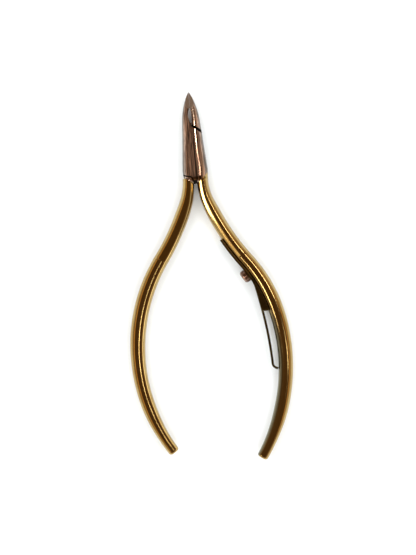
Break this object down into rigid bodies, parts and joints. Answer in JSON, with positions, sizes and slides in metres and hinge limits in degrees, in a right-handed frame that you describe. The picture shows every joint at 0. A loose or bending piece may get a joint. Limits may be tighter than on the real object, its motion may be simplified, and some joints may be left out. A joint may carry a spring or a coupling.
{
  "type": "cuticle nipper",
  "caption": "Hand nipper for trimming cuticles: pointed steel jaws on a riveted lap joint, bowed gold handles and a flat spring held by a screw.",
  "frame": {"origin": "on the rivet's axis, in the plane of the joint's flat back face", "axes": "+X to the side of the spring's handle, +Y from the handles to the tips, +Z along the rivet from the back face to the front face"},
  "size_m": [0.0478, 0.1102, 0.006],
  "materials": {
    "polished_steel": "mirror polished, ground matte at the tips, gold plated on the shanks",
    "gold_plate": "polished gold plate over steel",
    "rivet_steel": "ground flush and polished",
    "spring_steel": "spring steel, darkened and satin",
    "screw_steel": "polished steel, tarnished"
  },
  "bodies": {
    "front_lever": {"front_jaw_lever": "polished_steel", "right_handle_bar": "gold_plate", "pivot_rivet": "rivet_steel", "spring_heel": "spring_steel", "spring_screw": "screw_steel"},
    "rear_lever": {"rear_jaw_lever": "polished_steel", "left_handle_bar": "gold_plate"},
    "spring_tongue_body": {"spring_tongue": "spring_steel"}
  },
  "joints": [
    {"name": "jaw_pivot", "type": "hinge", "parent": "front_lever", "child": "rear_lever", "pos_m": [0, 0, 0.003], "axis": [0, 0, -1], "range_deg": [0, 16]},
    {"name": "spring_flex", "type": "hinge", "parent": "front_lever", "child": "spring_tongue_body", "pos_m": [0.01589, -0.04935, 0.003], "axis": [0, 0, -1], "range_deg": [0, 8], "stiffness_Nm_per_rad": 1.3}
  ]
}
